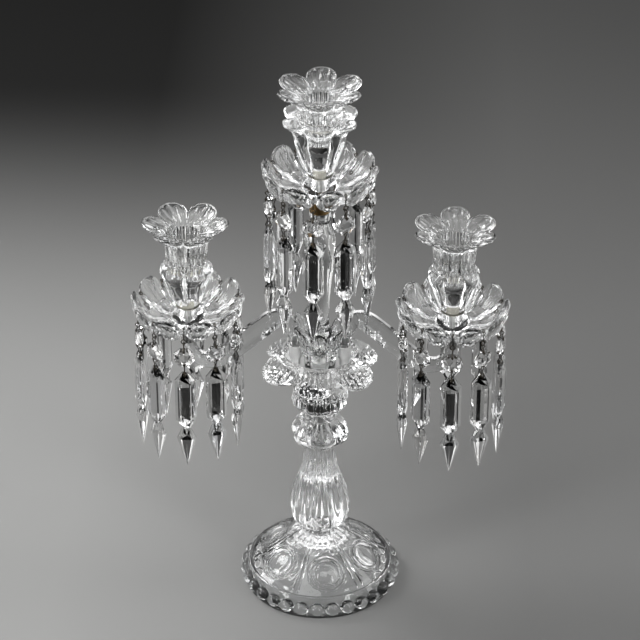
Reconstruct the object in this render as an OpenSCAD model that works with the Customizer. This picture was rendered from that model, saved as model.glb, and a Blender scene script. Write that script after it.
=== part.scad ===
// Three-light crystal girandole: moulded pedestal, leafed urn, two swan-neck arms and hanging prisms.
// The axis of the column is Z, the arms lie along X, and the front of the piece faces -Y.

/* [Overall] */
// Distance from the column axis to each side candle
light_reach = 118; // [114:1:122]
// Rise of the side pan seats above the rim of the bowl
side_rise = 25; // [23:1:29]
// Length of the glass column between its two caps
column_l = 128; // [126:1:134]

/* [Foot] */
// Radius of the foot over its beads
foot_r = 75; // [72:1:80]
// Number of beads round the rim
bead_count = 30; // [26:1:33]
// Turn of the front medallion to the right
medallion_turn = 10; // [0:1:30]

/* [Pans] */
// Radius of a drip pan over its petal tips
pan_r = 51; // [49:0.5:53]
// Petals on each drip pan, with one pendant in every valley
pan_petals = 10; // [8:1:10]
// Turn of the top pan, so that a pendant hangs near the front
top_pan_turn = -5; // [-8:1:0]

/* [Cups] */
// Diameter of the candle sockets
candle_d = 22.6; // [20:0.2:24]
// Radius of a candle cup over its petal tips
corolla_r = 38.6; // [36:0.2:42]
// Petals on each candle cup
cup_petals = 6; // [5:1:8]

/* [Pendants] */
// Width of an octagon bead
bead_w = 18; // [16:0.5:18]
// Length of a spear prism
spear_l = 100; // [90:1:104]
// Width of a spear prism
spear_w = 18; // [14:0.5:18]
// Diameter of the hook and link wire
wire_d = 0.9; // [0.8:0.1:1]

/* [Arms] */
// Thickness of the flat glass arms
arm_t = 6.4; // [5:0.2:6.6]
// Depth of an arm at its crest
arm_depth = 19; // [16:0.5:20]

/* [Hidden] */
$fn = 64;
crystal = [0.86, 0.90, 0.93];
brass = [0.72, 0.57, 0.30];
silvered = [0.74, 0.74, 0.72];
cork = [0.66, 0.50, 0.34];

// Levels up the centre, each built on the one below
base_t = 3;
rim_z = 19;
dome_top = 60;
leaf_h = 60;
neck_h = 28;
knop_h = 39;
neck_z = dome_top + leaf_h;
knop_z = neck_z + neck_h;
knop_top = knop_z + knop_h;
washer_t = 1.5;
urn_z = knop_top + washer_t;
bulb_h = 44.5;
bowl_depth = 18;
bowl_floor = urn_z + bulb_h;
bowl_rim = bowl_floor + bowl_depth;
plate_t = 3;
plate_top = bowl_floor + plate_t;
nut_h = 6;
calyx_h = 18;
calyx_seat = plate_top + calyx_h;
socket_h = 12;
column_foot = calyx_seat + socket_h;
column_top = column_foot + column_l;
ferrule_h = 16;
top_pan_z = column_top + ferrule_h;
side_pan_z = bowl_rim + side_rise;

// Metal joints
stud_r = 4;
stud_hole_r = 4.5;
stud_foot = knop_z + 8;
stud_reach = 5;
washer_r = 12.5;
tail_x = 22;
tail_peg_r = 2.6;
tail_socket_r = 4.4;
tail_socket_h = 8;
tail_r = 6;
tail_h = 12;
tail_seat = plate_top + tail_socket_h;
plate_r = tail_x + tail_socket_r + 0.4;
ferrule_web = 5;
ferrule_r = 9.2;
tenon_r = 6.5;
fit = 0.2;
cement = 0.3;
peg_r = 5;
peg_stud_r = 3.5;
peg_reach = 9.5;
cup_seat = 19;

// Pendant chain, measured down from the pan seat and from the eye that it swings on
valley_r = pan_r - 2.8;
valley_z = 18.8;
hook_r = valley_r - 2.6;
wire_r = wire_d / 2;
drill_r = 1.3;
pivot_z = 6.5;
eye_major = 2.1;
loop_r = 2.8;
ring_l = 8.8;
link_l = 12.4;
ring_lift = 2 * wire_r + 0.15;
bead_inset = 2.6;
spear_inset = 3.6;
bead_z = ring_lift - ring_l + bead_inset - bead_w / 2;
spear_hole_z = bead_z - bead_w / 2 + bead_inset - link_l;

// The lights: name, place, seat height, turn of the hooks, turn of the cup, and whether the cup has
// the wide second tier of leaves
LIGHTS = [
    ["left", -light_reach, side_pan_z, 0, 180 / cup_petals, false],
    ["right", light_reach, side_pan_z, 0, 0, false],
    ["top", 0, top_pan_z, top_pan_turn, 0, true]
];

function pendant_name(light, k) = str("pendant_", light[0], "_", k + 1);
function pendant_turn(light, k) = light[3] + 360 / pan_petals * k;

// Curves and lofted surfaces

function lerp(a, b, t) = a + (b - a) * t;

function bezier(p, t) =
    pow(1 - t, 3) * p[0] + 3 * t * pow(1 - t, 2) * p[1] + 3 * t * t * (1 - t) * p[2] + pow(t, 3) * p[3];

// A point on the smooth curve through a list of points, where t counts the points passed
function through(p, t) =
    let (i = min(floor(t), len(p) - 2), u = t - i,
         a = p[max(i - 1, 0)], b = p[i], c = p[i + 1], d = p[min(i + 2, len(p) - 1)])
    0.5 * (2 * b + (c - a) * u + (2 * a - 5 * b + 4 * c - d) * u * u
           + (3 * b - a - 3 * c + d) * pow(u, 3));

// Height of a petal across its width: 1 on its midline, 0 in the valley. Fill below 1 narrows it.
function lobe(angle, count, fill) =
    let (turn = angle * count / 360, u = 2 * abs(turn - round(turn)) / fill)
    sqrt(max(0, 1 - u * u));

// One ring of a petalled surface. A station is [valley r, valley z, midline r, midline z, flute depth].
function ring(station, count, steps, phase, fill) =
    let (n = count * steps, flute = is_undef(station[4]) ? 0 : station[4])
    [for (i = [0 : n - 1])
        let (a = 360 * i / n, t = lobe(a, count, fill),
             r = lerp(station[0], station[2], t) - flute * (1 - cos(3 * count * a)) / 2)
        [r * cos(a + phase), r * sin(a + phase), lerp(station[1], station[3], t)]];

// A closed skin over rings that run from the lower end to the upper end
module skin(rings) {
    n = len(rings[0]);
    m = len(rings);
    sides = [for (j = [0 : m - 2], i = [0 : n - 1])
        let (k = (i + 1) % n, a = j * n, b = a + n)
        each [[a + i, b + i, b + k], [a + i, b + k, a + k]]];
    ends = [[for (i = [0 : n - 1]) i], [for (i = [n - 1 : -1 : 0]) (m - 1) * n + i]];
    polyhedron([for (r = rings) each r], concat(sides, ends));
}

// Stations written from their own foot, moved up to a level
function raised(stations, z) = [for (s = stations) [s[0], s[1] + z, s[2], s[3] + z, s[4]]];

module petalled(stations, count, steps, turn, fill = 1) {
    skin([for (s = stations) ring(s, count, steps, turn - 90, fill)]);
}

module wire_bend(major, angle, sides) {
    rotate_extrude(angle = angle) translate([major, 0]) circle(wire_r, $fn = sides);
}

module tube(z0, z1, r) {
    translate([0, 0, z0]) cylinder(h = z1 - z0, r = r);
}

// Foot: beaded rim, panelled dome with medallions, leaf stem and lobed knop in one pressing

dome_line = [
    [15.6, dome_top],
    [17.6, dome_top - 4],
    [21.4, dome_top - 7.4],
    [25, dome_top - 9.4],
    [26.6, dome_top - 11.6],
    [33, dome_top - 17.6],
    [foot_r - 9, rim_z]
];
cavity_top = dome_top - 25;
cavity_r = foot_r - 14;
cavity_curve = [[9, cavity_top], [26, cavity_top - 3], [44, cavity_top - 15], [cavity_r, 0]];
cavity_line = [for (t = [0 : 0.125 : 1]) bezier(cavity_curve, t)];
panel_top = dome_line[5];
panel_low = dome_line[6];
panel_slope = atan2(panel_top[1] - panel_low[1], panel_low[0] - panel_top[0]);
panel_count = 6;
bead_r = 6.4;
bead_sunk = 0.5;
medallion_r = 18.6;
medallion_flat = 0.9;

module dome() {
    rotate_extrude($fn = 96)
        polygon(concat([[0, dome_top]], dome_line,
                       [[foot_r - 8, rim_z - 5], [foot_r - 7.6, base_t], [foot_r - 4, base_t], [foot_r - 4, 0],
                        [0, 0]]));
}

module rim_beads() {
    for (i = [0 : bead_count - 1])
        rotate([0, 0, 360 * (i + 0.5) / bead_count])
            translate([foot_r - bead_r, 0, base_t + bead_r - bead_sunk]) sphere(bead_r, $fn = 32);
}

// Stands its children on a small flat, square to the slope of one panel
module on_panel(k) {
    spot = lerp(panel_top, panel_low, 0.4);
    rotate([0, 0, 360 / panel_count * k - 90 + medallion_turn]) translate([spot[0], 0, spot[1]])
        rotate([0, panel_slope, 0]) translate([0, 0, -medallion_flat]) children();
}

// A cabochon lens inside two ring steps
module medallion() {
    lens_r = 10.6;
    lens_h = 3;
    ball_r = (lens_r * lens_r + lens_h * lens_h) / (2 * lens_h);
    arc = asin(lens_r / ball_r);
    rotate_extrude()
        polygon(concat([[0, -3]],
                       [for (t = [0 : 0.2 : 1]) [ball_r * sin(arc * t), lens_h - ball_r * (1 - cos(arc * t))]],
                       [[12.4, 0], [13, 1.2], [14.2, 1.2], [14.8, 0.1], [15.6, 0.1], [16.2, 1],
                        [17.8, 1], [medallion_r, -0.2], [medallion_r, -3]]));
}

// One raised rib down a panel's edge
module panel_rib() {
    rib_h = 1.4;
    inset = 1;
    ends = [lerp(panel_top, panel_low, 0.02), lerp(panel_top, panel_low, 0.93)];
    rotate([0, 0, -1.1]) rotate_extrude(angle = 2.2)
        polygon([ends[0] + [0, rib_h], ends[1] + [0, rib_h], ends[1] - [0, inset], ends[0] - [0, inset]]);
}

// Stem leaves from the dome, then the neck, then the knop
stem_leaf = [
    [13.4, -8, 14, -8],
    [14.6, 0, 15.8, 0.2],
    [16.4, 3, 21, 2.8],
    [18.6, 8, 26, 7.8],
    [19.8, 14, 28.2, 14],
    [20, 20, 28.5, 20.2],
    [19.6, 31, 27.2, 31.4],
    [18.4, 40, 24.8, 41],
    [17.4, 47, 22.2, 48.4],
    [16.6, 55, 19.4, 57]
];
stem_neck = [
    [15.8, 2, 17.2, 3],
    [14.8, 0.46 * neck_h, 15.8, 0.46 * neck_h],
    [14, 0.71 * neck_h, 14.8, 0.71 * neck_h],
    [13.2, neck_h, 13.8, neck_h]
];
stem_knop = [
    [14.8, 3.4, 15, 3.4],
    [14.2, 5.4, 14.8, 5.4],
    [19, 8.4, 22.6, 8],
    [21.8, 13, 26.4, 12.6],
    [21.8, 18, 26.4, 18],
    [19.8, 24, 23.4, 25],
    [16.4, 29, 17.4, 30],
    [14.8, 32, 14.8, 32.4],
    [14.6, 37, 14.6, 37],
    [14, knop_h, 14, knop_h]
];
stem_stations = concat(raised(stem_leaf, dome_top), raised(stem_neck, neck_z), raised(stem_knop, knop_z));

module foot() {
    color(crystal) difference() {
        union() {
            difference() {
                dome();
                for (k = [0 : panel_count - 1]) on_panel(k) tube(0, 12, medallion_r + 0.6);
            }
            rim_beads();
            for (k = [0 : panel_count - 1]) {
                on_panel(k) medallion();
                for (side = [-3, 3])
                    rotate([0, 0, 360 / panel_count * (k + 0.5) - 90 + medallion_turn + side]) panel_rib();
            }
            petalled(stem_stations, panel_count, 6, medallion_turn);
        }
        rotate_extrude($fn = 96)
            polygon(concat([[0, cavity_top]], cavity_line, [[cavity_r, -base_t], [0, -base_t]]));
        tube(stud_foot - 2, knop_top + 1, stud_hole_r);
    }
}

// Centre hardware

module urn_washer() {
    color(cork) difference() {
        tube(knop_top, urn_z, washer_r);
        tube(knop_top - 1, urn_z + 1, stud_hole_r);
    }
}

module centre_stud() {
    color(silvered) tube(stud_foot, calyx_seat + stud_reach, stud_r);
}

module both_sides() {
    for (x = [-tail_x, tail_x]) translate([x, 0, 0]) children();
}

module arm_plate() {
    color(silvered) difference() {
        union() {
            tube(bowl_floor, plate_top, plate_r);
            both_sides() tube(bowl_floor, tail_seat, tail_socket_r);
        }
        both_sides() tube(bowl_floor - 1, tail_seat + 1, tail_peg_r + fit);
        tube(bowl_floor - 1, plate_top + 1, stud_hole_r);
    }
}

module plate_nut() {
    color(silvered) difference() {
        translate([0, 0, plate_top]) cylinder(h = nut_h, r = 7.5, $fn = 6);
        tube(plate_top - 1, plate_top + nut_h + 1, stud_r + 0.05);
    }
}

module column_socket() {
    color(silvered) difference() {
        union() {
            tube(calyx_seat, column_foot, ferrule_r);
            tube(calyx_seat, calyx_seat + 2, ferrule_r + 1.4);
        }
        tube(calyx_seat + ferrule_web, column_foot + 1, tenon_r + fit);
        tube(calyx_seat - 1, calyx_seat + ferrule_web + 1, stud_r + 0.05);
    }
}

// Urn: fluted bulb and bowl with six turned-down shell leaves

urn_bulb = [
    [15.4, 0, 15.4, 0],
    [16.4, 1.9, 16.4, 1.9],
    [21.4, 4.8, 22.2, 4.6, 0.8],
    [24.4, 9.5, 25.8, 9.2, 1.2],
    [24.6, 14.5, 26, 14.5, 1.2],
    [23, 22, 24.2, 22, 1],
    [22.4, bulb_h - 13, 23.6, bulb_h - 13.6, 0.6]
];
urn_bowl = [
    [25.5, -7, 30, -8],
    [29, 0, 42, -5.5],
    [31.5, 5, 51, -3.5],
    [33, 9, 54.4, -0.8],
    [33.6, 11, 55, 2.4],
    [34.4, bowl_depth - 4.6, 49, 8.6],
    [35, bowl_depth - 2.6, 41, bowl_depth - 4.4],
    [35, bowl_depth - 1, 36.4, bowl_depth - 1],
    [33.6, bowl_depth, 33.6, bowl_depth],
    [32.2, bowl_depth - 1.6, 32.2, bowl_depth - 1.6],
    [30.8, bowl_depth / 2, 30.8, bowl_depth / 2],
    [plate_r + 2.4, 2.6, plate_r + 2.4, 2.6],
    [plate_r + 0.6, 0, plate_r + 0.6, 0]
];

module urn() {
    color(crystal) difference() {
        petalled(concat(raised(urn_bulb, urn_z), raised(urn_bowl, bowl_floor)), 6, 6, -5);
        tube(urn_z - 1, bowl_floor + 1, stud_hole_r);
    }
}

// Calyx: crown of ribbed leaves round the foot of the column, with the arms in two of its valleys

calyx_stations = [
    [14, 0, 14.4, 0],
    [13.8, 8, 15.4, 8],
    [13.4, 14, 17, 15],
    [13.2, calyx_h - 1, 19, calyx_h + 6],
    [13.3, calyx_h + 1.6, 21, calyx_h + 14],
    [13.5, calyx_h + 4, 23.2, calyx_h + 21],
    [13.6, calyx_h + 5.6, 25, calyx_h + 25.4],
    [13.2, calyx_h + 6.6, 24.4, calyx_h + 27.2],
    [12.8, calyx_h + 6, 21, calyx_h + 21],
    [12.6, calyx_h + 4.6, 18, calyx_h + 13],
    [12.4, calyx_h + 2.4, 15, calyx_h + 5.4],
    [12.2, calyx_h, 12.2, calyx_h]
];

module calyx() {
    color(crystal) difference() {
        petalled(raised(calyx_stations, plate_top), 6, 6, 0, 0.78);
        tube(plate_top - 1, plate_top + nut_h + 1.5, 9);
        tube(plate_top, calyx_seat + 1, stud_hole_r);
    }
}

// Column: panel-cut baluster between its two caps

column_profile = [
    [10.4, 0], [10.8, 0.04], [8, 0.12], [8.6, 0.28], [12.4, 0.6], [14, 0.74], [13, 0.84], [8.6, 0.92],
    [9.4, 0.96], [9.4, 1]
];

module column() {
    steps = 4;
    line = [for (i = [0 : (len(column_profile) - 1) * steps]) through(column_profile, i / steps)];
    color(crystal) union() {
        intersection() {
            rotate_extrude()
                polygon(concat([[0, column_foot]],
                               [for (p = line) [p[0], column_foot + p[1] * column_l]],
                               [[0, column_top]]));
            translate([0, 0, column_foot - 1]) cylinder(h = column_l + 2, r = 14.6, $fn = 6);
        }
        tube(calyx_seat + ferrule_web + cement, column_foot + 1, tenon_r);
        tube(column_top - 1, top_pan_z - ferrule_web - cement, tenon_r);
    }
}

// Arms: flat swan necks from a socket in the bowl up, over and out to the side lights

arm_end = 10.8;
arm_root = 7.4;
arm_path = [
    // x along the arm, height, depth of the bar
    [tail_x, tail_seat + 3.5, arm_root],
    [tail_x + 0.4, tail_seat + 15, arm_root],
    [tail_x + 3, tail_seat + 27, 0.58 * arm_depth],
    [tail_x + 8.5, tail_seat + 38.6, 0.8 * arm_depth],
    [tail_x + 18.5, tail_seat + 38.4, 0.95 * arm_depth],
    [lerp(tail_x, light_reach, 0.323), tail_seat + 28.4, arm_depth],
    [lerp(tail_x, light_reach, 0.469), tail_seat + 15.4, arm_depth],
    [light_reach - 37, side_pan_z - 29, 0.95 * arm_depth],
    [light_reach - 24, side_pan_z - 37.6, 0.84 * arm_depth],
    [light_reach - 12, side_pan_z - 37.6, 0.72 * arm_depth],
    [light_reach - 3.5, side_pan_z - 30, 0.62 * arm_depth],
    [light_reach, side_pan_z - 18, arm_end],
    [light_reach, side_pan_z - ferrule_web - cement, arm_end]
];

// Eight-sided section of the bar: a tall rectangle with its long edges ground off
function arm_section(t) =
    let (p = through(arm_path, t),
         ahead = through(arm_path, min(t + 0.02, len(arm_path) - 1)),
         behind = through(arm_path, max(t - 0.02, 0)),
         run = [ahead[0] - behind[0], ahead[1] - behind[1]],
         side = [-run[1], run[0]] / norm(run),
         half = p[2] / 2, thin = arm_t / 2, bevel = 1.1)
    [for (c = [[half, thin - bevel], [half - bevel, thin], [bevel - half, thin], [-half, thin - bevel],
               [-half, bevel - thin], [bevel - half, -thin], [half - bevel, -thin], [half, bevel - thin]])
        [p[0] + side[0] * c[0], c[1], p[1] + side[1] * c[0]]];

module arm() {
    steps = 2;
    last = (len(arm_path) - 1) * steps;
    color(crystal) skin([for (i = [0 : last]) arm_section(i / steps)]);
}

module arm_right() {
    arm();
}

module arm_left() {
    rotate([0, 0, 180]) arm();
}

// Metal tail that caps the inner end of an arm and drops in the plate
module tail(x) {
    color(silvered) translate([x, 0, 0]) difference() {
        union() {
            tube(tail_seat, tail_seat + tail_h, tail_r);
            tube(bowl_floor + 1, tail_seat + 1, tail_peg_r);
        }
        tube(tail_seat + 3, tail_seat + tail_h + 1, tail_r - 0.8);
    }
}

module tail_left() {
    tail(-tail_x);
}

module tail_right() {
    tail(tail_x);
}

// The three lights, each built up from the seat of its pan

module at_light(light) {
    translate([light[1], 0, light[2]]) children();
}

module ferrule(light) {
    color(light[5] ? brass : silvered) at_light(light) difference() {
        union() {
            tube(-ferrule_h, 0, ferrule_r);
            tube(-2, 0, ferrule_r + 1.8);
        }
        tube(-ferrule_h - 1, -ferrule_web, tenon_r + fit);
        tube(-ferrule_web - 1, 1, peg_stud_r + 0.05);
    }
}

module peg(light) {
    color(silvered) at_light(light) union() {
        tube(-ferrule_web + fit, 1, peg_stud_r);
        tube(0, cup_seat + peg_reach, peg_r);
    }
}

pan_stations = [
    [11, 0, 11, 0],
    [20, 2, 20, 1.6],
    [31, 6.6, 32.5, 5],
    [41, 12.6, 44, 12.2],
    [valley_r - 1.8, 15.6, pan_r - 1.2, 21.4],
    [valley_r, 17.4, pan_r, 28],
    [valley_r - 0.6, valley_z + 0.2, pan_r - 1.2, 29.8],
    [valley_r - 2.8, valley_z, pan_r - 4, 27.6],
    [41, 17, 42.5, 19],
    [32, 12.2, 33.5, 11],
    [24, 9, 24, 8.2],
    [15.4, 9.6, 15.4, 9.6],
    [10.6, 17.6, 10.6, 17.6],
    [9.6, cup_seat, 9.6, cup_seat]
];

module pan(light) {
    color(crystal) at_light(light) difference() {
        petalled(pan_stations, pan_petals, 6, light[3] + 180 / pan_petals);
        tube(-1, cup_seat + 1, peg_r + cement);
        for (k = [0 : pan_petals - 1])
            rotate([0, 0, pendant_turn(light, k)]) translate([0, -hook_r, 0]) tube(valley_z - 9, valley_z + 5, drill_r);
    }
}

// A cup's stations and its socket are measured up from the top of the pan's boss
socket_floor = 35;
socket_mouth = 67.4;
cup_foot = [
    [10.4, 0, 10.4, 0],
    [11.2, 1.4, 11.2, 1.4],
    [11.2, 8.4, 11.2, 8.4],
    [9.6, 11, 9.6, 11],
    [10, 17, 11.6, 17],
    [13.4, 25, 17.4, 24],
    [17, 34, 22.6, 33]
];
cup_lobes = [
    [18.2, 41, 25.6, 40.4],
    [18.2, 47, 23, 48],
    [18.6, 51, 19.4, 51.6]
];
cup_leaves = [
    [18.4, 40, 24, 39],
    [19, 47, 25.6, 47],
    [19.8, 51.6, 34, 55.4],
    [19.9, 53.4, 34.5, 57.8],
    [19.6, 56, 23, 56.8],
    [19.5, 58, 20, 58]
];
cup_corolla = [
    [19.4, 60, 19.4, 60, 0.7],
    [21.4, 67, 21.4, 67, 0.9],
    [24.2, 70.6, 25.2, 71.2, 0.6],
    [0.66 * corolla_r, 73.6, 0.85 * corolla_r, 77.2],
    [0.68 * corolla_r, 75.4, 0.985 * corolla_r, 82.4],
    [0.68 * corolla_r, 76.8, corolla_r, 84.4],
    [0.66 * corolla_r, 77.8, 0.98 * corolla_r, 85.6],
    [0.62 * corolla_r, 76.2, 0.83 * corolla_r, 81.4],
    [21.4, 73.8, 25.4, 76.6],
    [17.4, 71, 18.6, 72],
    [candle_d / 2 + 1.3, socket_mouth, candle_d / 2 + 1.3, socket_mouth]
];

module cup(light) {
    middle = light[5] ? cup_leaves : cup_lobes;
    color(crystal) at_light(light) translate([0, 0, cup_seat]) difference() {
        petalled(concat(cup_foot, middle, cup_corolla), cup_petals, 6, light[4]);
        tube(-1, peg_reach + 1, peg_r + cement);
        tube(socket_floor, socket_mouth + 1, candle_d / 2);
    }
}

// Pendants: the hook stays in the pan, and the ring, bead, link and spear swing on its lower eye.
// In a pendant's own frame X runs round the pan, Y points inwards and the eye's wire is at the origin.

module at_hook(light, k) {
    at_light(light) rotate([0, 0, pendant_turn(light, k)]) translate([0, -hook_r, pivot_z]) children();
}

module hook() {
    head_z = valley_z - pivot_z + wire_r + 0.4;
    head_major = 1.5;
    union() {
        translate([0, 0, eye_major]) rotate([90, 0, 0]) wire_bend(eye_major, 360, 24);
        translate([0, 0, head_z + head_major]) rotate([0, 90, 0]) wire_bend(head_major, 360, 24);
        tube(2 * eye_major, head_z, wire_r);
    }
}

module hooks(light) {
    color(brass) for (k = [0 : pan_petals - 1]) at_hook(light, k) hook();
}

// A long wire loop that hangs down from the origin
module wire_link(length) {
    span = length - 2 * loop_r;
    translate([0, 0, -loop_r]) rotate([0, 90, 0]) union() {
        rotate([0, 0, 90]) wire_bend(loop_r, 180, 8);
        translate([span, 0, 0]) rotate([0, 0, -90]) wire_bend(loop_r, 180, 8);
        for (side = [-loop_r, loop_r])
            translate([0, side, 0]) rotate([0, 90, 0]) cylinder(h = span, r = wire_r, $fn = 8);
    }
}

module drilled(z) {
    translate([0, 0, z]) rotate([90, 0, 0]) cylinder(h = 20, r = drill_r, center = true);
}

// Octagon bead: a table and eight slopes on each face
module bead() {
    half_t = 3.4;
    girdle = 0.8;
    table = 0.29 * bead_w;
    half_w = bead_w / 2;
    outline = [[half_w, girdle], [table, half_t], [-table, half_t], [-half_w, girdle],
               [-half_w, -girdle], [-table, -half_t], [table, -half_t], [half_w, -girdle]];
    difference() {
        intersection_for(k = [0 : 3])
            rotate([0, 45 * k, 0]) linear_extrude(2 * bead_w, center = true) polygon(outline);
        for (side = [-1, 1]) drilled(side * (half_w - bead_inset));
    }
}

function mirrored(half) = concat(half, [for (i = [len(half) - 1 : -1 : 0]) [-half[i][0], half[i][1]]]);

module front_cut(half) {
    rotate([90, 0, 0]) linear_extrude(3 * spear_w, center = true) polygon(mirrored(half));
}

module side_cut(half) {
    rotate([0, 0, 90]) front_cut(half);
}

// Spear prism: bevelled bar with a roof-cut top, a waist and a pyramid point, cut by four pairs of planes.
// Each half outline runs down from the top as [half width, height].
module spear() {
    half_w = spear_w / 2;
    half_t = 4.5;
    waist = 0.59 * spear_l;
    shoulder = waist - 8;
    point = 0.7 * spear_l;
    tip = 0.3;
    bevel_turn = 53;
    bevel_w = 6;
    bevels = [[bevel_w, 1], [bevel_w, -shoulder], [3.3, -waist], [6.1, -point], [2 * tip, -spear_l - 1]];
    difference() {
        intersection() {
            front_cut([[2.4, 0], [half_w, -8.5], [half_w, -shoulder], [3.6, -waist], [half_w - 0.4, -point],
                       [tip, -spear_l]]);
            side_cut([[1.6, 0], [1.9, -4.8], [half_t, -14], [half_t, -shoulder], [2.8, -waist], [5.2, -point],
                      [tip, -spear_l]]);
            rotate([0, 0, bevel_turn]) front_cut(bevels);
            rotate([0, 0, -bevel_turn]) front_cut(bevels);
        }
        drilled(-spear_inset);
    }
}

module pendant(light, k) {
    color(crystal) at_hook(light, k) {
        translate([0, 0, ring_lift]) wire_link(ring_l);
        translate([0, 0, bead_z]) bead();
        translate([0, 0, spear_hole_z + link_l]) wire_link(link_l);
        translate([0, 0, spear_hole_z + spear_inset]) spear();
    }
}

// Drawing

foot();
urn_washer();
centre_stud();
urn();
arm_plate();
plate_nut();
calyx();
column_socket();
column();
arm_left();
arm_right();
tail_left();
tail_right();
for (light = LIGHTS) {
    ferrule(light);
    peg(light);
    pan(light);
    cup(light);
    hooks(light);
    for (k = [0 : pan_petals - 1])
        pendant(light, k);
}
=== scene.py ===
# %% [markdown]
# # A three-light crystal girandole
# The real object is a table candle holder of clear pressed and cut crystal. Its moulded pieces have petals,
# flutes and beads, and thirty cut pendants hang on wires under the drip pans. This lesson dresses the
# engineering solids: smooth moulded glass takes the place of the faceted solids, while the metal fittings
# stay as they are and only get a finish. The frame is loaded first, so every piece lands where it belongs.

# %% Load the frame
import math

import bmesh
import bpy
import numpy as np
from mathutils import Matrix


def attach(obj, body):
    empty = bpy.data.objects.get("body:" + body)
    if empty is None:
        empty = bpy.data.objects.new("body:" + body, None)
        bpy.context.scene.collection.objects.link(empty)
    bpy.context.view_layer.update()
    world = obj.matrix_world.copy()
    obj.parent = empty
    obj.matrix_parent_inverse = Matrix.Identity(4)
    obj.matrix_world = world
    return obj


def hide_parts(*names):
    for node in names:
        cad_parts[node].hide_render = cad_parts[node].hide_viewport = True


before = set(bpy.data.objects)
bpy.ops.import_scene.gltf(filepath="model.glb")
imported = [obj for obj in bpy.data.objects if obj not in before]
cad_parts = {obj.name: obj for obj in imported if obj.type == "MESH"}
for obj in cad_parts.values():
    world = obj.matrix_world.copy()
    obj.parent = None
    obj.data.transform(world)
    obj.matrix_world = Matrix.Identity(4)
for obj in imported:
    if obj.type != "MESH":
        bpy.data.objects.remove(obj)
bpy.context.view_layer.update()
MM = 0.001

# %% [markdown]
# ## Camera
# The picture was taken with a long lens from a little above, so upright lines stay nearly upright. A long
# focal length and a far camera give the same flat perspective. The aim point sits at the height of the urn.

# %% Camera
AIM = np.array([0.0, 0.0, 0.282])
PITCH = math.radians(31.8)
SWING = math.radians(2.4)
DISTANCE = 2.231
away = np.array([math.sin(SWING) * math.cos(PITCH), -math.cos(SWING) * math.cos(PITCH), math.sin(PITCH)])
lens = bpy.data.cameras.new("camera")
lens.lens = 140.6
lens.sensor_width = 36
camera = bpy.data.objects.new("camera", lens)
camera.location = AIM + DISTANCE * away
camera.rotation_euler = (math.pi / 2 - PITCH, 0, SWING)
bpy.context.scene.collection.objects.link(camera)
bpy.context.scene.camera = camera
bpy.context.scene.view_settings.view_transform = "Standard"
print("camera at", [round(v, 3) for v in camera.location])

# %% [markdown]
# ## Writing materials as sums
# A node tree is easier to read when it is written as arithmetic. `Signal` holds one output socket and turns
# every plus, minus, times and divide into a Math node. `Finish` is one material, and its `node` method
# makes any other node from its type, its settings and its inputs.

# %% Signals and finishes
class Signal:
    def __init__(self, finish, socket):
        self.finish = finish
        self.socket = socket

    def maths(self, operation, first, second):
        return self.finish.node("ShaderNodeMath", {"operation": operation}, {0: first, 1: second})

    def __add__(self, other):
        return self.maths("ADD", self, other)

    def __radd__(self, other):
        return self.maths("ADD", other, self)

    def __sub__(self, other):
        return self.maths("SUBTRACT", self, other)

    def __rsub__(self, other):
        return self.maths("SUBTRACT", other, self)

    def __mul__(self, other):
        return self.maths("MULTIPLY", self, other)

    def __rmul__(self, other):
        return self.maths("MULTIPLY", other, self)

    def __truediv__(self, other):
        return self.maths("DIVIDE", self, other)

    def __rtruediv__(self, other):
        return self.maths("DIVIDE", other, self)


class Finish:
    def __init__(self, name, owner=None):
        self.material = owner or bpy.data.materials.new(name)
        self.material.use_nodes = True
        self.tree = self.material.node_tree
        self.tree.nodes.clear()

    def node(self, kind, settings=None, inputs=None, output=0):
        made = self.tree.nodes.new(kind)
        for key, value in (settings or {}).items():
            if key == "stops":
                while len(made.color_ramp.elements) < len(value):
                    made.color_ramp.elements.new(1.0)
                for stop, (place, colour) in zip(made.color_ramp.elements, value):
                    stop.position = place
                    stop.color = (*colour, 1.0)
            else:
                setattr(made, key, value)
        for key, value in (inputs or {}).items():
            if isinstance(value, Signal):
                self.tree.links.new(value.socket, made.inputs[key])
            else:
                made.inputs[key].default_value = value
        return Signal(self, made.outputs[output] if made.outputs else None)

    def place(self):
        return self.node("ShaderNodeTexCoord", output="Object")

    def noise(self, scale, detail=3.0, roughness=0.5, stretch=None):
        where = self.place()
        if stretch:
            where = self.node("ShaderNodeMapping", {}, {"Vector": where, "Scale": stretch})
        return self.node("ShaderNodeTexNoise", {}, {"Vector": where, "Scale": scale, "Detail": detail,
                                                    "Roughness": roughness})

    def blend(self, factor, first, second):
        return self.node("ShaderNodeMix", {"data_type": "RGBA"}, {0: factor, 6: first, 7: second}, 2)

    def bump(self, height, strength, distance):
        inputs = {"Height": height, "Strength": strength, "Distance": distance}
        return self.node("ShaderNodeBump", {}, inputs, "Normal")

    def ease(self, value, low, high, start, end):
        return self.node("ShaderNodeMapRange", {"interpolation_type": "SMOOTHSTEP"}, {
            "Value": value, "From Min": low, "From Max": high, "To Min": start, "To Max": end})

    def part(self, vector, axis):
        return self.node("ShaderNodeSeparateXYZ", {}, {"Vector": vector}, axis)

    def surface(self, shader):
        self.node("ShaderNodeOutputMaterial", {}, {"Surface": shader})
        return self.material


print("shader helpers ready")

# %% [markdown]
# ## Clear crystal
# Lead crystal is clear glass that bends light strongly. Moulded pieces keep a faint ripple from the iron
# mould, and cut pieces are ground flat. Glass that blocks lamps would throw a black shadow, so for shadow
# rays the shader is swapped for a see-through grey. It is not clear, because the light that is bent through
# the glass reaches the floor as well and would be counted twice. The tint varies a little, like striae.

# %% Crystal finishes
GLASS_SHADOW = (0.34, 0.345, 0.35, 1.0)


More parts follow.
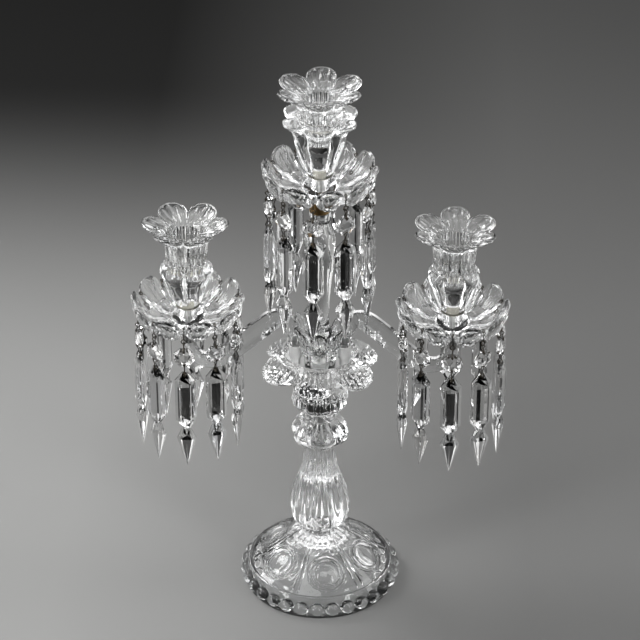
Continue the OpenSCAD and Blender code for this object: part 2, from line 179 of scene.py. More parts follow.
def crystal(name, index, ripple, cool, warm):
    finish = Finish(name)
    spot = finish.node("ShaderNodeNewGeometry", output="Position")
    streak = finish.node("ShaderNodeTexNoise", {}, {"Vector": spot, "Scale": 24.0, "Detail": 2.0})
    inputs = {"Base Color": finish.blend(streak, cool, warm), "Roughness": 0.0, "IOR": index,
              "Transmission Weight": 1.0}
    if ripple:
        inputs["Normal"] = finish.bump(finish.noise(95.0, 2.0), ripple, 0.0006)
    body = finish.node("ShaderNodeBsdfPrincipled", {}, inputs)
    open_way = finish.node("ShaderNodeBsdfTransparent", {}, {"Color": GLASS_SHADOW})
    shadow_ray = finish.node("ShaderNodeLightPath", output="Is Shadow Ray")
    mixed = finish.node("ShaderNodeMixShader", {}, {0: shadow_ray, 1: body, 2: open_way})
    return finish.surface(mixed)


moulded_crystal = crystal("moulded_crystal", 1.54, 0.05, (0.975, 0.985, 0.995, 1.0), (1.0, 1.0, 0.99, 1.0))
cut_crystal = crystal("cut_crystal", 1.6, 0.0, (0.955, 0.97, 1.0, 1.0), (1.0, 0.985, 0.955, 1.0))
print("crystal finishes:", moulded_crystal.name, cut_crystal.name)

# %% [markdown]
# ## Metal and cork
# The cap under the top pan is lacquered brass. The other caps and the stud are silvered, the plate, its nut
# and the arm tails are a dull pale metal, and the thin hook wire has darkened with age. Noise breaks up the
# colour, and a finer stretched noise gives the marks of the lathe. The cups are bedded in pale plaster,
# which also coats the tops of their pegs, and a washer of pale cork lies under the urn.

# %% Metal and cork finishes
PLASTER_DARK = (0.72, 0.68, 0.58, 1.0)
PLASTER_LIGHT = (0.86, 0.83, 0.74, 1.0)
# Heights of the cup feet in millimetres, from the stack that is listed under Levels
SIDE_CUP_FOOT = 295
TOP_CUP_FOOT = 429


def metal(name, dark, light, gloss_low, gloss_high, scale, share=1.0):
    finish = Finish(name)
    patches = finish.noise(scale, 4.0, 0.6)
    lathe = finish.noise(420.0, 2.0, 0.5, (0.2, 0.2, 3.0))
    shine = gloss_low + patches * (gloss_high - gloss_low) + lathe * 0.05
    body = finish.node("ShaderNodeBsdfPrincipled", {}, {
        "Base Color": finish.blend(patches, dark, light), "Roughness": shine, "Metallic": share,
        "Normal": finish.bump(lathe, 0.15, 0.0002)})
    return finish.surface(body)


cap_brass = metal("cap_brass", (0.20, 0.12, 0.05, 1.0), (0.46, 0.30, 0.12, 1.0), 0.24, 0.42, 180.0)
hook_wire = metal("hook_wire", (0.010, 0.009, 0.008, 1.0), (0.075, 0.062, 0.045, 1.0), 0.3, 0.5, 600.0)
silver_plate = metal("silver_plate", (0.66, 0.66, 0.65, 1.0), (0.90, 0.90, 0.88, 1.0), 0.12, 0.26, 150.0)


def bedded_peg(name, seat):
    """Silvered peg whose top, above the given height, is coated with the pale plaster that beds the cup."""
    finish = Finish(name)
    height = finish.part(finish.place(), "Z")
    plaster = finish.node("ShaderNodeMath", {"operation": "GREATER_THAN"}, {0: height, 1: seat * MM})
    patches = finish.noise(300.0, 3.0)
    bare = finish.blend(patches, (0.42, 0.42, 0.41, 1.0), (0.72, 0.72, 0.70, 1.0))
    coated = finish.blend(patches, PLASTER_DARK, PLASTER_LIGHT)
    body = finish.node("ShaderNodeBsdfPrincipled", {}, {
        "Base Color": finish.blend(plaster, bare, coated), "Metallic": 1.0 - plaster,
        "Roughness": 0.3 + plaster * 0.55})
    return finish.surface(body)


bed_finish = Finish("plaster_bed")
bed_body = bed_finish.node("ShaderNodeBsdfPrincipled", {}, {
    "Base Color": bed_finish.blend(bed_finish.noise(300.0, 3.0), PLASTER_DARK, PLASTER_LIGHT),
    "Roughness": 0.85})
plaster_bed = bed_finish.surface(bed_body)

washer_finish = Finish("pale_cork_washer")
grain = washer_finish.noise(900.0, 5.0, 0.7)
washer_body = washer_finish.node("ShaderNodeBsdfPrincipled", {}, {
    "Base Color": washer_finish.blend(grain, (0.66, 0.64, 0.60, 1.0), (0.86, 0.85, 0.82, 1.0)),
    "Roughness": 0.9, "Normal": washer_finish.bump(grain, 0.5, 0.0004)})
pale_cork = washer_finish.surface(washer_body)

pale_metal = metal("pale_metal", (0.80, 0.80, 0.79, 1.0), (0.93, 0.93, 0.92, 1.0), 0.3, 0.45, 150.0, 0.35)

FITTINGS = {"urn_washer": pale_cork, "centre_stud": silver_plate, "arm_plate": pale_metal,
            "plate_nut": pale_metal, "column_socket": silver_plate, "tail_left": pale_metal,
            "tail_right": pale_metal, "ferrule_left": silver_plate, "ferrule_right": silver_plate,
            "ferrule_top": cap_brass}
for light_name, cup_foot in (("left", SIDE_CUP_FOOT), ("right", SIDE_CUP_FOOT), ("top", TOP_CUP_FOOT)):
    FITTINGS["peg_" + light_name] = bedded_peg("bedded_peg_" + light_name, cup_foot)
    FITTINGS["hooks_" + light_name] = hook_wire
for fitting, coat in FITTINGS.items():
    fitting_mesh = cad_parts[fitting].data
    fitting_mesh.materials.clear()
    fitting_mesh.materials.append(coat)
print("fittings finished:", len(FITTINGS))

# %% [markdown]
# ## Smooth curves and lofted glass
# A pressed piece is a stack of rings. Each station gives the radius and height of a ring in the valley
# between two petals and on the middle line of a petal. A smooth curve runs through the stations, and the
# angles are crowded towards the valleys, so each petal has a truly round edge.

# %% Curves and rings
def through(points, per_gap):
    p = np.array(points, float)
    before = np.vstack([p[:1], p[:-2]])
    after = np.vstack([p[2:], p[-1:]])
    rows = []
    for i in range(len(p) - 1):
        a, b, c, d = before[i], p[i], p[i + 1], after[i]
        for u in np.arange(per_gap) / per_gap:
            rows.append(0.5 * (2 * b + (c - a) * u + (2 * a - 5 * b + 4 * c - d) * u ** 2
                               + (3 * b - a - 3 * c + d) * u ** 3))
    rows.append(p[-1])
    return np.array(rows)


def straight(points, per_gap):
    p = np.array(points, float)
    t = np.arange((len(p) - 1) * per_gap + 1) / per_gap
    return np.stack([np.interp(t, np.arange(len(p)), column) for column in p.T], axis=1)


def round_run(points):
    return [[r, z, r, z, 0.0] for r, z in points]


def raised(stations, z):
    return [[s[0], s[1] + z, s[2], s[3] + z, s[4] if len(s) > 4 else 0.0] for s in stations]


class PetalAngles:
    """Angles round a petalled ring, the rise of the petal at each, and the place across the petal."""

    def __init__(self, count, per_petal, turn, fill=1.0):
        swing = np.linspace(-90, 90, per_petal, endpoint=False)
        angle = 180 / count * fill * np.sin(np.radians(swing))
        rise = np.cos(np.radians(swing))
        across = np.sin(np.radians(swing))
        if fill < 1:
            flat = np.linspace(180 / count * fill, 360 / count - 180 / count * fill, 5)
            angle = np.append(angle, flat[:-1])
            rise = np.append(rise, np.zeros(4))
            across = np.append(across, np.ones(4))
        self.angle = np.concatenate([angle + 360 / count * k for k in range(count)])
        self.rise = np.tile(rise, count)
        self.across = np.tile(across, count)
        self.world = np.radians(self.angle + turn - 90)
        self.count = count


def petal_rings(rows, ring, reeds=3):
    """A grid of points, one ring for each row of [valley r, valley z, petal r, petal z, flute depth]."""
    valley_r, valley_z, petal_r, petal_z, flute = [column[:, None] for column in rows.T]
    groove = 1 - np.abs(np.cos(np.radians(reeds * ring.count * ring.angle / 2)))
    r = valley_r + (petal_r - valley_r) * ring.rise - flute * groove
    z = valley_z + (petal_z - valley_z) * ring.rise
    return np.stack([r * np.cos(ring.world), r * np.sin(ring.world), z * np.ones_like(r)], axis=2)


def embossed(grid, height):
    """Moves a grid of rings outwards, along its own normals, by a height in millimetres."""
    around = np.roll(grid, -1, axis=1) - np.roll(grid, 1, axis=1)
    up = np.gradient(grid, axis=0)
    normal = np.cross(around, up)
    normal /= np.maximum(np.linalg.norm(normal, axis=2, keepdims=True), 1e-9)
    return grid + normal * height[:, :, None]


def window(rows, low, high, soft):
    """1 between two rows of a grid and 0 outside, with soft ends."""
    t = np.arange(rows)
    rise = np.clip((t - low) / soft, 0, 1)
    fall = np.clip((high - t) / soft, 0, 1)
    edge = np.minimum(rise, fall)
    return (edge * edge * (3 - 2 * edge))[:, None]


print("curve helpers ready")

# %% [markdown]
# ## From rings to pieces
# The rings are joined with quads into one closed skin, because glass needs a closed skin to refract
# properly. Edges sharper than a limit are kept crisp, and the rest is shaded smooth.

# %% Skins
def skin(grids, low_cap=True, high_cap=True, loop=False):
    """Joins rings, which may differ in their number of points, into points and faces."""
    points = []
    faces = []
    starts = []
    first = 0
    for grid in grids:
        for ring in grid:
            starts.append((first, len(ring)))
            points.append(ring)
            first += len(ring)
    pairs = list(zip(range(len(starts) - 1), range(1, len(starts))))
    if loop:
        pairs.append((len(starts) - 1, 0))
    for lower, upper in pairs:
        (a, n), (b, m) = starts[lower], starts[upper]
        if n == m:
            i = np.arange(n)
            j = (i + 1) % n
            faces.extend(np.stack([a + i, a + j, b + j, b + i], axis=1).tolist())
        else:
            faces.extend(zipped(points[lower], a, points[upper], b))
    flat = np.concatenate(points)
    for wanted, index, order in ((low_cap, 0, 1), (high_cap, len(starts) - 1, -1)):
        if wanted and not loop:
            start, n = starts[index]
            centre = len(flat)
            flat = np.vstack([flat, points[index].mean(axis=0)])
            for i in range(n):
                j = (i + 1) % n
                faces.append([centre, start + j, start + i][::order])
    return flat, faces


def zipped(low_ring, a, high_ring, b):
    """Triangles between two rings with different counts, matched by their angle round the axis."""
    low_turn = np.degrees(np.arctan2(low_ring[:, 1], low_ring[:, 0])) % 360
    high_turn = np.degrees(np.arctan2(high_ring[:, 1], high_ring[:, 0])) % 360
    low_order = np.argsort(low_turn)
    high_order = np.argsort(high_turn)
    n, m = len(low_order), len(high_order)
    low_walk = np.append(low_turn[low_order], low_turn[low_order[0]] + 360)
    high_walk = np.append(high_turn[high_order], high_turn[high_order[0]] + 360)
    i = 0
    j = 0
    faces = []
    while i < n or j < m:
        here = [a + int(low_order[i % n]), b + int(high_order[j % m])]
        if j >= m or (i < n and low_walk[i + 1] <= high_walk[j + 1]):
            faces.append([here[0], a + int(low_order[(i + 1) % n]), here[1]])
            i += 1
        else:
            faces.append([here[0], b + int(high_order[(j + 1) % m]), here[1]])
            j += 1
    return faces


def piece(name, points, faces, finish, body, crisp=38, node=None):
    mesh = bpy.data.meshes.new(name)
    mesh.from_pydata((np.asarray(points) * MM).tolist(), [], faces)
    mesh.validate()
    mesh.polygons.foreach_set("use_smooth", [True] * len(mesh.polygons))
    mesh.set_sharp_from_angle(angle=math.radians(crisp))
    mesh.materials.append(finish)
    made = bpy.data.objects.new(name, mesh)
    bpy.context.scene.collection.objects.link(made)
    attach(made, body)
    if node:
        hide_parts(node)
    return made


print("skin helpers ready")

# %% [markdown]
# ## Levels
# The pieces stack up the centre line, so their heights are written once, each on top of the one below.

# %% Levels of the stack
DOME_TOP = 60.0
NECK_Z = DOME_TOP + 60
NECK_H = 28.0
KNOP_Z = NECK_Z + NECK_H
KNOP_TOP = KNOP_Z + 39
URN_Z = KNOP_TOP + 1.5
BOWL_FLOOR = URN_Z + 44.5
BOWL_DEPTH = 18.0
PLATE_TOP = BOWL_FLOOR + 3
CALYX_SEAT = PLATE_TOP + 18
COLUMN_FOOT = CALYX_SEAT + 12
COLUMN_L = 128.0
SIDE_Z = BOWL_FLOOR + BOWL_DEPTH + 25
TOP_Z = COLUMN_FOOT + COLUMN_L + 16
REACH = 118.0
STUD_BORE = 4.5
PEG_BORE = 5.3
CAP_DEPTH = 5.3
# Each light: place across, level of its pan, turn of its hooks, turn of its cup
LIGHTS = {"left": (-REACH, SIDE_Z, 0.0, 30.0), "right": (REACH, SIDE_Z, 0.0, 0.0),
          "top": (0.0, TOP_Z, -5.0, 0.0)}
print("pan seats at", SIDE_Z, "and", TOP_Z)

# %% [markdown]
# ## Foot
# The foot is one pressing: a ground base, a rim of ball beads, six panels with cabochon medallions inside
# two rings, a pair of ribs between panels, and the leaf stem with its knop. Separate overlapping solids
# would show their inner walls through the glass, so beads, ribs and medallions are shaped into one skin.

# %% Foot base, rim and panels
BEAD_R = 6.39
BEAD_RING = 68.6
BEAD_Z = 8.9
BEAD_STEP = 12.0
BEAD_SPREAD = 6.7
FINE = 720
fine_turn = np.radians(np.arange(FINE) * 360 / FINE)


def at_turns(r, z):
    r, z = np.broadcast_arrays(r, z)
    return np.stack([r * np.cos(fine_turn), r * np.sin(fine_turn), z * np.ones(FINE)], axis=-1)


def plain_rings(profile, count=240):
    turn = np.radians(np.arange(count) * 360 / count)
    rings = []
    for r, z in profile:
        rings.append(np.stack([r * np.cos(turn), r * np.sin(turn), np.full(count, z)], axis=1))
    return np.array(rings)


t = np.linspace(0, 1, 26)[:, None]
cavity = ((1 - t) ** 3 * np.array([9, 41]) + 3 * t * (1 - t) ** 2 * np.array([28, 40])
          + 3 * t ** 2 * (1 - t) * np.array([54, 34]) + t ** 3 * np.array([61, 0]))
cavity = np.vstack([[[3, 41.4]], cavity])
GROUND_RIM = [[62, 0], [70.2, 0], [70.8, 0.4], [71, 1], [70.9, 1.9], [70.5, 2.35]]
base_rings = plain_rings(np.vstack([cavity, GROUND_RIM]))

off_bead = np.radians((np.arange(FINE) * 360 / FINE) % BEAD_STEP - BEAD_STEP / 2)
bead_share = np.clip(1 - (BEAD_RING * np.sin(off_bead) / BEAD_SPREAD) ** 2, 0.012, None)
bead_cut = BEAD_R * np.sqrt(bead_share)
bead_centre = BEAD_RING * np.cos(off_bead)
WALL = 67.2
reach_turn = np.minimum(np.arccos(np.clip((WALL - bead_centre) / bead_cut, -1, 1)), 2.0)
rim_rows = [at_turns(70.0, 2.45), at_turns(WALL + 0.2, 2.45)]
for share in np.linspace(-1, 1, 27):
    rim_rows.append(at_turns(bead_centre + bead_cut * np.cos(share * reach_turn),
                             BEAD_Z + bead_cut * np.sin(share * reach_turn)))
rim_rows += [at_turns(WALL, 15.9), at_turns(66.9, 17.8), at_turns(66.6, 19.4), at_turns(66.0, 20.2),
             at_turns(65.2, 20.5), at_turns(64.6, 20.3)]

PANEL_LOW = np.array([64.2, 20.3])
PANEL_TOP = np.array([33.0, 42.4])
slope = math.atan2(PANEL_TOP[1] - PANEL_LOW[1], PANEL_LOW[0] - PANEL_TOP[0])
spot = np.array([46.2, 33.04])
panel_turn = (np.arange(FINE) * 360 / FINE + 90 - 10 + 30) % 60 - 30


def hill(distance, half_width):
    return np.exp(-(distance / half_width) ** 2)


def ridge(distance, half_width):
    return np.sqrt(np.clip(1 - (distance / half_width) ** 2, 0, None))


def panel_height(r, z):
    swing = np.radians(panel_turn)
    down = (r * np.cos(swing) - spot[0]) * math.cos(slope) - (z - spot[1]) * math.sin(slope)
    out = np.hypot(down, r * np.sin(swing))
    lens_rise = 3.4 * ridge(out, 10.8)
    rings = 1.4 * ridge(out - 13.4, 1.1) + 1.3 * ridge(out - 17.0, 1.2)
    from_edge = (30 - np.abs(panel_turn)) / 180 * math.pi * r
    share = (r - 15.6) / (PANEL_LOW[0] - 15.6)
    run = np.clip(min(share * 6, (0.99 - share) * 20), 0, 1)
    ribs = 1.6 * ridge(from_edge - 0.05 * r, 1.2) * run
    crown = np.clip(min((30 - r) / 3, (r - 16) / 2), 0, 1)
    crown_flutes = -0.9 * np.abs(np.sin(12 * swing)) * crown
    return lens_rise + rings + ribs + crown_flutes


DOME_CROWN = [PANEL_TOP, [26.9, 47.6], [25.4, 50.2], [21.4, 52.6], [17.8, 55.8], [15.8, 59.6]]
dome_line = np.vstack([straight([PANEL_LOW, PANEL_TOP], 112), through(DOME_CROWN, 7)[1:]])
dome_run = np.gradient(dome_line, axis=0)
dome_run /= np.linalg.norm(dome_run, axis=1, keepdims=True)
panel_rows = []
for (r, z), (run_r, run_z) in zip(dome_line, dome_run):
    rise = panel_height(r, z)
    panel_rows.append(at_turns(r + rise * run_z, z - rise * run_r))
print("rim rows", len(rim_rows), "panel rows", len(panel_rows))

# %% Foot stem and knop
STEM_LEAF = [[15.2, 0.4, 16, 0.5], [16.4, 3, 21, 2.8], [18.6, 8, 26, 7.8], [19.8, 14, 28.2, 14],
             [20, 20, 28.5, 20.2], [19.6, 31, 27.2, 31.4], [18.4, 40, 24.8, 41], [17.4, 47, 22.2, 48.4],
             [16.6, 55, 19.4, 57]]
STEM_NECK = [[15.8, 2, 17.2, 3], [14.8, 12.9, 15.8, 12.9], [14, 19.9, 14.8, 19.9], [13.2, 28, 13.8, 28]]
STEM_KNOP = [[14.8, 3.4, 15, 3.4], [14.2, 5.4, 14.8, 5.4], [19, 8.4, 22.6, 8], [21.8, 13, 26.4, 12.6],
             [21.8, 18, 26.4, 18], [19.8, 24, 23.4, 25], [16.4, 29, 17.4, 30], [14.8, 32, 14.8, 32.4],
             [14.6, 37, 14.6, 37], [14, 39, 14, 39]]
stem_ring = PetalAngles(6, 48, 10)
stem_stations = raised(STEM_LEAF, DOME_TOP) + raised(STEM_NECK, NECK_Z) + raised(STEM_KNOP, KNOP_Z)
stem_rows = through(stem_stations, 7)
stem_grid = petal_rings(stem_rows, stem_ring)
up_leaf = np.clip(np.arange(len(stem_rows)) / 63, 0, 1)[:, None]
leaf_half = 0.66 - 0.42 * up_leaf ** 2
leaf_edge = np.abs(stem_ring.across)[None, :] - leaf_half
leaf_relief = 0.9 * ridge(leaf_edge, 0.1) - 0.7 * np.clip(-leaf_edge * 4, 0, 1)
neck_seams = 0.5 * ridge(np.abs(stem_ring.across) - 0.995, 0.012)
neck_lines = (neck_seams - 0.3 * ridge(stem_ring.across, 0.5))[None, :]
knop_row = 7 * (len(STEM_LEAF) + len(STEM_NECK))
stem_flutes = -0.8 * np.abs(np.sin(2 * np.pi * stem_ring.across))[None, :]
knop_cuts = -0.9 * np.abs(np.sin(1.5 * np.pi * stem_ring.across))[None, :]
knop_band = window(len(stem_rows), knop_row + 26, knop_row + 52, 6)
stem_grid = embossed(stem_grid, window(len(stem_rows), 5, 68, 6) * leaf_relief
                     + window(len(stem_rows), 54, knop_row - 2, 8) * neck_lines + knop_band * knop_cuts
                     + window(len(stem_rows), 10, knop_row, 8) * stem_flutes)
stud_well = plain_rings([[STUD_BORE, KNOP_TOP], [STUD_BORE, KNOP_Z + 6]])
foot_points, foot_faces = skin([base_rings, np.array(rim_rows), np.array(panel_rows), stem_grid, stud_well])
foot = piece("foot_glass", foot_points, foot_faces, moulded_crystal, "stand", node="foot")
print("foot faces", len(foot.data.polygons))

# %% [markdown]
# ## Urn
# The urn is a fluted bulb under an open bowl, with six shell leaves that turn down over the bulb. Fine
# flutes fan across each leaf, so its edge is scalloped. The hole for the stud runs right through.

# %% Urn
URN_BULB = [[15.4, 0, 15.4, 0], [16.4, 1.9, 16.4, 1.9], [21.4, 4.8, 22.2, 4.6, 0.8],
            [24.4, 9.5, 25.8, 9.2, 1.3], [24.6, 14.5, 26, 14.5, 1.3], [23, 22, 24.2, 22, 1.1],
            [22.4, 31.5, 23.6, 30.9, 0.6]]
URN_BOWL = [[25.5, -7, 30, -8], [29, 0, 42, -5.5], [31.5, 5, 51, -3.5], [33, 9, 54.2, -0.8],
            [33.6, 11, 54.6, 2.4], [34.4, 13.4, 49, 8.6], [35, 15.4, 41, 13.6], [35, 17, 36.4, 17],
            [33.6, 18, 33.6, 18], [32.2, 16.4, 32.2, 16.4], [30.8, 9, 30.8, 9], [29.2, 2.6, 29.2, 2.6],
            [27.4, 0, 27.4, 0]]
urn_ring = PetalAngles(6, 54, -5)
urn_rows = through(raised(URN_BULB, URN_Z) + raised(URN_BOWL, BOWL_FLOOR), 8)
urn_grid = petal_rings(urn_rows, urn_ring, 4)
shell_span = window(len(urn_rows), 82, 112, 5)
shell_flutes = np.abs(np.cos(4.5 * np.pi * urn_ring.across)) - 1
under_flutes = np.abs(np.sin(4.5 * np.pi * urn_ring.across)) - 1
under_span = window(len(urn_rows), 58, 80, 6)
urn_grid = embossed(urn_grid, 2.0 * shell_span * (shell_flutes * urn_ring.rise)[None, :]
                    + 1.2 * under_span * (under_flutes * urn_ring.rise)[None, :])
stud_bore = straight(round_run([[STUD_BORE, BOWL_FLOOR], [STUD_BORE, URN_Z]]), 4)
urn_points, urn_faces = skin([urn_grid, petal_rings(stud_bore, urn_ring)], loop=True)
urn = piece("urn_glass", urn_points, urn_faces, moulded_crystal, "stand", node="urn")
print("urn faces", len(urn.data.polygons))

# %% [markdown]
# ## Calyx
# A crown of six upright leaves stands in the bowl round the foot of the column. Each leaf has a raised
# middle rib and two side veins.

# %% Calyx
CALYX = [[14, 0, 14.4, 0], [13.8, 8, 15.4, 8], [13.4, 14, 17, 15], [13.2, 17, 19, 24], [13.3, 19.6, 21, 32],
         [13.5, 22, 23.2, 39], [13.6, 23.6, 25, 43.4], [13.2, 24.6, 24.4, 45.2], [12.8, 24, 21, 39],
         [12.6, 22.6, 18, 31], [12.4, 20.4, 15, 23.4], [12.2, 18, 12.2, 18]]
calyx_ring = PetalAngles(6, 36, 0, 0.78)
calyx_rows = through(raised(CALYX, PLATE_TOP), 7)
calyx_grid = petal_rings(calyx_rows, calyx_ring)
vein_span = window(len(calyx_rows), 10, 66, 10)
veins = hill(calyx_ring.across, 0.14) + 0.6 * hill(np.abs(calyx_ring.across) - 0.5, 0.12) - 0.3
leaf_rim = 0.9 * ridge(np.abs(calyx_ring.across) - 0.86, 0.13)
calyx_grid = embossed(calyx_grid, vein_span * (1.1 * veins * calyx_ring.rise + leaf_rim)[None, :])
NUT_R = 9
NUT_ROOM = PLATE_TOP + 7.5
calyx_bore = straight(round_run([[STUD_BORE, CALYX_SEAT], [STUD_BORE, NUT_ROOM], [NUT_R, NUT_ROOM],
                                 [NUT_R, PLATE_TOP]]), 2)
calyx_points, calyx_faces = skin([calyx_grid, petal_rings(calyx_bore, calyx_ring)], loop=True)
calyx = piece("calyx_glass", calyx_points, calyx_faces, moulded_crystal, "stand", node="calyx")
print("calyx faces", len(calyx.data.polygons))

# %% [markdown]
# ## Column
# The column is a turned baluster whose belly is ground to six flat panels. Its tenons sit in metal caps.

# %% Column
COLUMN = [[10.4, 0], [10.8, 0.04], [8, 0.12], [8.6, 0.28], [12.4, 0.6], [14, 0.74], [13, 0.84], [8.6, 0.92],
          [9.4, 0.96], [9.4, 1]]
TENON_R = 6.5
BELLY_CORNER = 14.6
COLUMN_SIDES = 192
column_turn = np.radians(np.arange(COLUMN_SIDES) * 360 / COLUMN_SIDES)
flat_r = BELLY_CORNER * math.cos(math.pi / 6) / np.cos((column_turn % (math.pi / 3)) - math.pi / 6)
line = through(COLUMN, 12) * np.array([1, COLUMN_L]) + np.array([0, COLUMN_FOOT])
line = np.vstack([[[TENON_R, CALYX_SEAT + CAP_DEPTH], [TENON_R, COLUMN_FOOT]], line,
                  [[TENON_R, COLUMN_FOOT + COLUMN_L], [TENON_R, TOP_Z - CAP_DEPTH]]])
column_rings = []
for r, z in line:
    r_here = np.minimum(r, flat_r)
    column_rings.append(np.stack([r_here * np.cos(column_turn), r_here * np.sin(column_turn),
                                  np.full(COLUMN_SIDES, z)], axis=1))
column_points, column_faces = skin([np.array(column_rings)])
column = piece("column_glass", column_points, column_faces, moulded_crystal, "stand", crisp=24,
               node="column")
print("column faces", len(column.data.polygons))

# %% [markdown]
# ## Arms
# Each arm is a flat glass bar, bent like a swan's neck: up out of the bowl, over and down, and up again to
# its light. The long edges are ground off, and these narrow bevels catch the light.

# %% Arms
TAIL_X = 22.0
TAIL_SEAT = PLATE_TOP + 8
ARM_DEPTH = 19.0
ARM_T = 6.4
span_x = REACH - TAIL_X
ARM_PATH = [[TAIL_X, TAIL_SEAT + 3.5, 7.4], [TAIL_X + 0.4, TAIL_SEAT + 15, 7.4],
            [TAIL_X + 3, TAIL_SEAT + 27, 0.58 * ARM_DEPTH],
            [TAIL_X + 8.5, TAIL_SEAT + 38.6, 0.8 * ARM_DEPTH],
            [TAIL_X + 18.5, TAIL_SEAT + 38.4, 0.95 * ARM_DEPTH],
            [TAIL_X + 0.323 * span_x, TAIL_SEAT + 28.4, ARM_DEPTH],
            [TAIL_X + 0.469 * span_x, TAIL_SEAT + 15.4, ARM_DEPTH],
            [REACH - 37, SIDE_Z - 29, 0.95 * ARM_DEPTH], [REACH - 24, SIDE_Z - 37.6, 0.84 * ARM_DEPTH],
            [REACH - 12, SIDE_Z - 37.6, 0.72 * ARM_DEPTH], [REACH - 3.5, SIDE_Z - 30, 0.62 * ARM_DEPTH],
            [REACH, SIDE_Z - 18, 10.8], [REACH, SIDE_Z - CAP_DEPTH, 10.8]]
arm_line = through(ARM_PATH, 10)
run = np.gradient(arm_line[:, :2], axis=0)
run /= np.linalg.norm(run, axis=1, keepdims=True)


def arm_rings(sign):
    bevel = 1.1
    thin = ARM_T / 2
    rings = []
    for (x, z, depth), (along_x, along_z) in zip(arm_line, run):
        half = depth / 2
        section = [[half, thin - bevel], [half - bevel, thin], [bevel - half, thin],
                   [-half, thin - bevel], [-half, bevel - thin], [bevel - half, -thin],
                   [half - bevel, -thin], [half, bevel - thin]]
        ring = [[sign * (x - along_z * s), sign * side, z + along_x * s] for s, side in section]
        rings.append(ring)
    return np.array(rings)


for side_name, sign in (("left", -1), ("right", 1)):
    arm_points, arm_faces = skin([arm_rings(sign)])
    arm = piece("arm_" + side_name + "_glass", arm_points, arm_faces, moulded_crystal, "stand", crisp=22,
                node="arm_" + side_name)
    print("arm", side_name, "faces", len(arm.data.polygons))

# %% [markdown]
# ## Drip pans
# Ten spoon-shaped petals turn up round a boss. Inside each petal a few parallel flutes run to the boss,
# an oval is pressed into its outside, and the thick rims shine. One pendant hangs in every valley.

# %% Drip pans
CUP_SEAT = 19.0
PAN = [[11, 0, 11, 0], [20, 2.6, 20, 1], [31, 8, 33.5, 2.6], [41, 13.8, 44.4, 8], [46, 15.8, 49, 17],
       [47.4, 16.8, 50, 25], [48, 18, 50.4, 27.6], [47.6, 18.8, 49.9, 29.1], [46.6, 18.9, 48.6, 29.5],
       [45.4, 18.5, 47, 28.2], [44.2, 17.6, 45.8, 25.4], [40.6, 15.8, 42, 18], [32, 11.6, 33.5, 10.4],
       [24, 8.8, 24, 7.8], [15.4, 9.6, 15.4, 9.6], [10.6, 17.6, 10.6, 17.6], [9.6, CUP_SEAT, 9.6, CUP_SEAT]]
for light_name, (light_x, light_z, hook_turn, cup_turn) in LIGHTS.items():
    pan_ring = PetalAngles(10, 36, hook_turn + 18, 0.86)
    pan_rows = through(raised(PAN, 0), 7)
    pan_grid = petal_rings(pan_rows, pan_ring)
    row = np.arange(len(pan_rows))[:, None]
    across = pan_ring.across[None, :]
    oval = np.sqrt((across / 0.6) ** 2 + ((row - 29) / 11) ** 2)
    thumb_mark = 0.5 * ridge(oval - 1.05, 0.12) - 1.4 * ridge(oval, 0.92)
    side_rim = 0.9 * hill(np.abs(across) - 0.82, 0.12) - 0.9 * hill(np.abs(across) - 1, 0.05)
    spoon_flutes = -0.45 * np.abs(np.sin(2 * np.pi * across)) * pan_ring.rise[None, :]
    inside = window(len(pan_rows), 69, 99, 7)
    pan_grid = embossed(pan_grid, thumb_mark + inside * (side_rim + spoon_flutes))
    peg_bore = straight(round_run([[PEG_BORE, CUP_SEAT], [PEG_BORE, 0]]), 3)
    pan_points, pan_faces = skin([pan_grid, petal_rings(peg_bore, pan_ring)], loop=True)
    pan = piece("pan_" + light_name + "_glass", pan_points + np.array([light_x, 0, light_z]), pan_faces,
                moulded_crystal, "stand", node="pan_" + light_name)
    print("pan", light_name, "faces", len(pan.data.polygons))

# %% [markdown]
# ## Candle cups
# A cup grows from a plain foot through a bulge of six lobes and a fluted throat into six broad petals.
# Ridges fan over each petal. The top cup has a second ring of leaves under the throat.

# %% Candle cups
SOCKET_MOUTH = 73.8
SOCKET_FLOOR = 35.0
PEG_WELL = 10.5
CUP_FOOT = [[10.4, 0, 10.4, 0], [11.2, 1.4, 11.2, 1.4], [11.2, 4, 11.4, 4], [11, 7, 13.2, 6.6],
            [11.2, 13, 16.4, 13], [12, 20, 19.2, 20.4], [14.2, 27, 22, 28.4]]
CUP_LOBES = [[16.4, 33, 24.4, 34.4], [17.2, 38, 23.8, 39.4], [17.8, 42, 20.8, 43.4], [18.3, 46, 18.9, 46.6],
             [18.5, 52, 18.7, 52, 0.9]]
CUP_LEAVES = [[16.4, 33, 24, 34.4], [17.6, 39, 24.4, 40.6], [18.8, 46, 27, 47.6], [19.8, 50.4, 33.2, 53.2],
              [20.2, 52, 34.4, 55.2], [20, 53.4, 33.6, 57], [19.6, 54.4, 30, 55.8], [19.3, 56, 22, 56]]
CUP_COROLLA = [[19, 58, 19, 58, 1.0], [19.4, 64, 19.6, 64, 1.1], [20.2, 69, 21, 69.4, 0.9],
               [20.8, 72.6, 24.6, 74, 0.4], [21.2, 75, 30, 77.6], [21.4, 76.6, 35.6, 80.4],
               [21.7, 77.9, 38.2, 83], [21.4, 78.9, 38.4, 84.2], [20.6, 79.3, 37.4, 85.2],
               [19.8, 79, 36.1, 84.6], [19.2, 78.2, 35.2, 82.9], [18.4, 77.6, 31, 80.7],
               [16.8, 76.8, 25, 78.6], [14.8, 76, 17, 76.6], [13, 75, 13.2, 75]]
